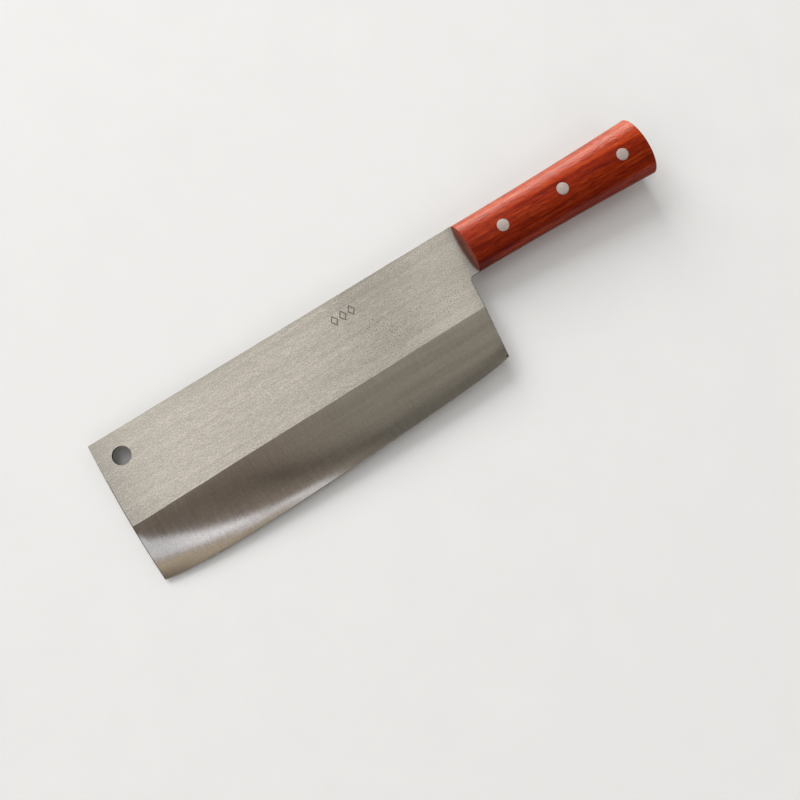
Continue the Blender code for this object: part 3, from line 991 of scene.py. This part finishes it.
# ------------------------------------------------------------------ world
# ceil_x and ceil_y are a direction's place on a flat ceiling one unit up
def window_side(net, ceil_x, ceil_y):
    """The bright window side of the room."""
    bright = ceil_y.smooth(span=(0.8, 1.8), to=(1.0, 1.25))
    # beams and fittings: lighter and darker stripes across it
    lamp_x = -0.155
    lamp = (ceil_x - lamp_x).bell(width=0.035)
    beam = ceil_x.smooth(span=(0.120, 0.155)) * ceil_x.smooth(span=(0.225, 0.200)) * -0.72
    beam += lamp * 0.42
    beam += ceil_x.smooth(span=(-0.195, -0.24)) * -0.30
    beam += ceil_x.smooth(span=(0.0, -0.06)) * 0.06
    bright = bright * (1.0 + beam * ceil_y.smooth(span=(1.4, 0.8)))
    bright = bright * ceil_x.smooth(span=(0.205, 0.235), to=(1.0, 1.40))
    bright = bright * ceil_x.smooth(span=(0.29, 0.34), to=(1.0, 0.03))
    bright = bright * (1.0 + ceil_y.smooth(span=(0.42, 0.16)) * 0.16)
    return net.scale((1.0, 0.985, 0.965), by=bright)


def dim_side(net, ceil_x, ceil_y):
    """The dim side of the room, behind the camera."""
    base = ceil_x.linear(span=(-0.20, 0.25), to=(0.19, 0.44))
    # a soft oval shade, tilted
    oval_x, oval_y, radius_x, radius_y, tilt = -0.075, 0.060, 0.055, 0.020, 0.12
    off_x = ceil_x - oval_x
    off_y = (ceil_y + ceil_x * tilt) - (oval_y + tilt * oval_x)
    spread = off_x * off_x * (0.5 / radius_x ** 2) + off_y * off_y * (0.5 / radius_y ** 2)
    base -= net.math("EXPONENT", spread * -1.0) * 0.075
    # a dark band along a bent line
    line = 0.022 - ceil_x * 0.33 + ceil_x * ceil_x * 0.8
    band = (ceil_y - line).bell(width=0.0135)
    band = band * ceil_x.linear(span=(-0.05, 0.22), to=(0.125, 0.20))
    base -= band * ceil_x.smooth(span=(-0.09, -0.02))
    deeper = ceil_x.linear(span=(0.03, 0.20), to=(0.07, 0.24)) \
        * ceil_y.smooth(span=(0.104, 0.074))
    base = base * (1.0 - deeper * ceil_x.smooth(span=(0.0, 0.05)))
    # fall-off towards the far ends
    base = base * ceil_y.smooth(span=(-0.5, -0.03), to=(0.5, 1.0))
    base = base * ceil_x.smooth(span=(0.275, 0.33), to=(1.0, 0.06))
    base = base * net.math("ABSOLUTE", ceil_x).smooth(span=(0.9, 0.3), to=(0.6, 1.0))
    tint = net.mix(ceil_x.smooth(span=(-0.10, 0.12)), (1.0, 0.86, 0.74), (1.0, 0.965, 0.86))
    return net.scale(tint, by=base)


def strip_lamps(net, dark, ceil_x, ceil_y):
    """Two strip lamps seen in the bevel: a cool one, and a warm, weaker one beside it."""
    widen = ceil_x.smooth(span=(-0.08, -0.03), to=(0.0, 0.0025))
    shift = ceil_x.smooth(span=(-0.18, -0.14), to=(0.0, 0.0035))
    # the two borders of the cool lamp; the warm one starts at the lower
    top = -0.0105 - ceil_x * 0.18 + ceil_x * ceil_x * 0.835 + widen - shift
    low = -0.0220 - ceil_x * 0.185 - widen
    cool = (ceil_y - low).smooth(span=(-0.002, 0.008)) \
        * (top - ceil_y).smooth(span=(-0.005, 0.007)) \
        * ceil_x.smooth(span=(0.0, 0.045), to=(1.0, 0.0))
    warm = (low - ceil_y).smooth(span=(-0.004, 0.004)) \
        * (ceil_y - low).smooth(span=(-0.036, -0.010)) \
        * ceil_x.smooth(span=(0.01, 0.10), to=(1.0, 0.0))
    warm_power = ceil_x.smooth(span=(-0.17, -0.10), to=(1.0, 0.86))
    cool_power = ceil_x.smooth(span=(-0.20, -0.13), to=(0.82, 1.25))
    dark = net.mix(warm, dark, net.scale((0.56, 0.49, 0.385), by=warm_power))
    return net.mix(cool, dark, net.scale((0.98, 1.03, 1.15), by=cool_power))


# lighter far walls: x span, y span, colour; two over the blade's front, one over the butt
FAR_WALLS = [
    ((-0.42, -0.8), (-0.8, 0.1), (1.12, 1.10, 1.07)),
    ((-0.7, -1.3), (0.1, -0.6), (0.85, 0.84, 0.82)),
    ((0.95, 1.5), (-1.0, -0.3), (0.80, 0.785, 0.765)),
]


def build_world():
    world = bpy.data.worlds.new("studio")
    scene.world = world
    world.use_nodes = True
    net = Net(world.node_tree, "ShaderNodeOutputWorld")
    x, y, z = net.source("ShaderNodeTexCoord", "Generated").axes()
    least_rise = 0.03                      # keeps the ceiling finite at the horizon
    rise = net.math("MAXIMUM", z, least_rise)
    ceil_x, ceil_y = x / rise, y / rise
    dark = strip_lamps(net, dim_side(net, ceil_x, ceil_y), ceil_x, ceil_y)
    colour = net.mix(ceil_y.smooth(span=(0.100, 0.135)), dark, window_side(net, ceil_x, ceil_y))
    for x_span, y_span, wall in FAR_WALLS:
        colour = net.mix(ceil_x.smooth(span=x_span) * ceil_y.smooth(span=y_span), colour, wall)
    # below the horizon
    colour = net.mix(z.smooth(span=(-0.02, 0.03)), (0.42, 0.41, 0.39), colour)
    # the camera itself sees a plain pale backdrop
    seen = net.source("ShaderNodeLightPath", "Is Camera Ray")
    colour = net.mix(seen, colour, (0.80, 0.80, 0.79))
    background = net.node("ShaderNodeBackground")
    net.put(net.fill(background, {"Color": colour, "Strength": 1.0}), net.surface)


# ------------------------------------------------------------------ lights and camera
def area_light(name, direction, size, power, colour=(1, 1, 1), glossy=True):
    """A rectangular light 3 m from the origin, facing it."""
    data = bpy.data.lights.new(name, "AREA")
    data.shape = "RECTANGLE"
    data.size, data.size_y = size
    data.energy = power
    data.color = colour
    light = bpy.data.objects.new(name, data)
    scene.collection.objects.link(light)
    outward = Vector(direction).normalized()
    light.location = outward * 3.0
    light.rotation_mode = "QUATERNION"
    light.rotation_quaternion = outward.to_track_quat("Z", "Y")
    light.visible_glossy = glossy
    return light


def build_lights():
    area_light("window_light", direction=(-0.12, 0.85, 0.47), size=(2.3, 1.8), power=68.0,
               colour=(1.0, 0.995, 0.985), glossy=False)
    low_window = area_light("low_window_light", direction=(0.20, 0.95, 0.17),
                            size=(3.0, 1.2), power=108.0, colour=(1.0, 0.91, 0.80))
    area_light("fill_light", direction=(0.05, -0.75, 0.65), size=(2.5, 2.0), power=13.0,
               glossy=False)
    # the low light is for the cleaver alone, so that it draws no second shadow on the floor
    low_window.light_linking.receiver_collection = parts


def build_camera():
    data = bpy.data.cameras.new("camera")
    data.sensor_width = 36.0
    data.lens = 39.1725
    data.clip_start, data.clip_end = 0.01, 20.0
    camera = bpy.data.objects.new("camera", data)
    scene.collection.objects.link(camera)
    eye = at(87.137 * MM, 101.535 * MM, 425.509 * MM)
    right = Vector((0.83934, -0.54111, 0.05200))
    down = Vector((-0.52989, -0.83577, -0.14390))
    ahead = Vector((0.12133, 0.09322, -0.98823))
    camera.matrix_world = Matrix((
        (right.x, -down.x, -ahead.x, eye.x),
        (right.y, -down.y, -ahead.y, eye.y),
        (right.z, -down.z, -ahead.z, eye.z),
        (0, 0, 0, 1)))
    scene.camera = camera
    scene.view_settings.view_transform = "Standard"


build_blade()
build_scale("left_scale", side=+1, offset=(0.0, 0.0, 0.0))
build_scale("right_scale", side=-1, offset=(0.13, 0.21, 0.37))
build_rivets(rivet_metal())
build_floor()
build_world()
build_lights()
build_camera()

bpy.context.view_layer.update()
